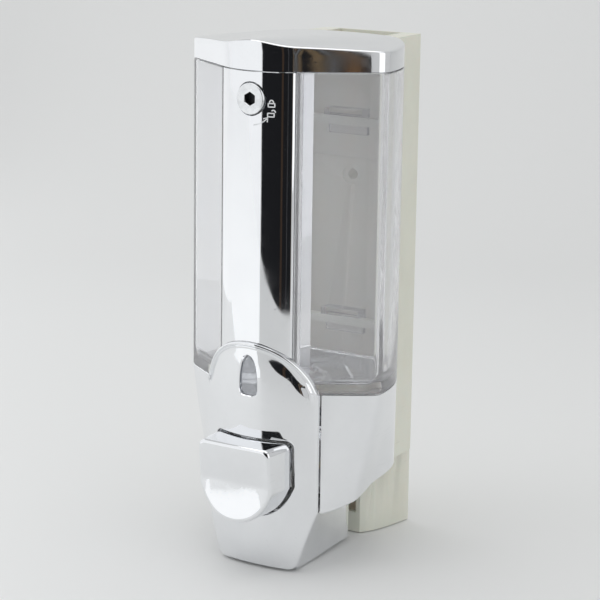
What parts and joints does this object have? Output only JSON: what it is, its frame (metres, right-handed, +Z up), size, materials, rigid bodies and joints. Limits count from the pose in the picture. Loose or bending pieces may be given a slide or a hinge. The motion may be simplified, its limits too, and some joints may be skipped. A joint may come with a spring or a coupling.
{
  "type": "wall mounted soap dispenser",
  "caption": "Wall mounted liquid soap dispenser with clear tank, chrome lid, lock, push button pump and ivory wall bracket.",
  "frame": {"origin": "centre of the bracket's back face, on the wall plane, at half of the dispenser's height", "axes": "+Z up, +Y into the wall, -Y towards the user, +X to the right of someone facing the dispenser"},
  "size_m": [0.0878, 0.101, 0.2081],
  "materials": {
    "chrome_plating": "mirror chrome plating on moulded plastic",
    "lock_metal": "bright plated metal",
    "clear_plastic": "clear polished plastic",
    "ivory_plastic": "satin moulded plastic",
    "white_plastic": "moulded",
    "steel": "bright",
    "silicone": "soft moulded"
  },
  "bodies": {
    "bracket": {"wall_bracket": "ivory_plastic"},
    "container": {"tank": "clear_plastic", "tank_gasket": "silicone", "tank_clamp_nut": "white_plastic", "hinge_pin": "steel", "front_panel": "chrome_plating", "front_cover": "chrome_plating", "cover_screw_right": "steel", "cover_screw_left": "steel", "sight_window": "clear_plastic", "base_housing": "chrome_plating", "nozzle_shroud": "chrome_plating", "pump_body": "white_plastic", "gland_cap": "white_plastic", "inlet_seat": "white_plastic", "outlet_nozzle": "white_plastic", "outlet_valve": "silicone", "return_spring": "steel"},
    "lid": {"lid": "chrome_plating", "lid_catch": "white_plastic", "lid_catch_screw": "steel"},
    "lock": {"lock_plug": "lock_metal", "lock_cam": "steel", "lock_cam_screw": "steel"},
    "button": {"push_button": "chrome_plating", "plunger_rod": "steel", "pump_piston": "white_plastic", "piston_seal": "silicone"},
    "ball": {"inlet_ball": "steel"}
  },
  "joints": [
    {"name": "container_lift", "type": "slide", "parent": "bracket", "child": "container", "axis": [0, 0, 1], "range_m": [0, 0.01]},
    {"name": "lid_open", "type": "hinge", "parent": "container", "child": "lid", "pos_m": [0, -0.0196, 0.0994], "axis": [-1, 0, 0], "range_deg": [0, 95]},
    {"name": "lock_turn", "type": "hinge", "parent": "container", "child": "lock", "pos_m": [0, -0.0845, 0.082], "axis": [0, 1, 0], "range_deg": [0, 90]},
    {"name": "button_press", "type": "slide", "parent": "container", "child": "button", "axis": [0, 1, 0], "range_m": [0, 0.0075], "stiffness_N_per_m": 500, "springref_m": -0.006, "deforming": ["return_spring"]},
    {"name": "inlet_ball_lift", "type": "slide", "parent": "container", "child": "ball", "axis": [0, 0, 1], "range_m": [0, 0.0015]}
  ]
}
